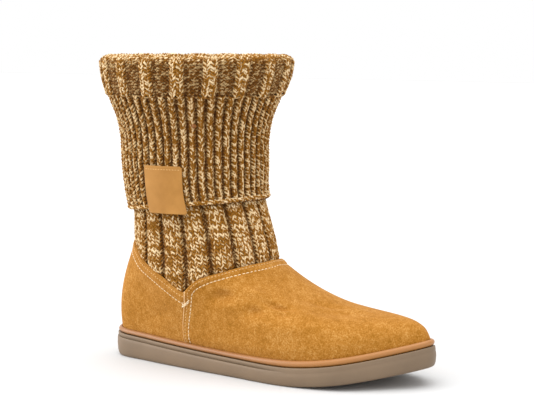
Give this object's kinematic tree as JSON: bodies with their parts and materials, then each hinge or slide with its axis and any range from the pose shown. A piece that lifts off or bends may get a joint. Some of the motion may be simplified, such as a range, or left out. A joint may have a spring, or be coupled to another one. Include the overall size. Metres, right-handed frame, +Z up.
{
  "type": "boot",
  "caption": "Pull-on ankle boot with a suede foot, a flat cupsole and a ribbed knitted shaft folded into a cuff.",
  "frame": {"origin": "on the floor, under the middle of the heel seat", "axes": "+X towards the toe, +Y towards the inner side of the foot, +Z up"},
  "size_m": [0.275, 0.1344, 0.233],
  "materials": {
    "sole_rubber": "matte moulded rubber",
    "foxing_rubber": "satin rubber strip",
    "insole_felt": "felt",
    "suede": "napped suede",
    "marled_knit": "chunky marled knit",
    "label_leather": "smooth leather"
  },
  "bodies": {
    "root": {"outsole": "sole_rubber", "foxing": "foxing_rubber", "insole": "insole_felt", "upper": "suede", "knit_shaft": "marled_knit", "label": "label_leather"}
  },
  "joints": []
}
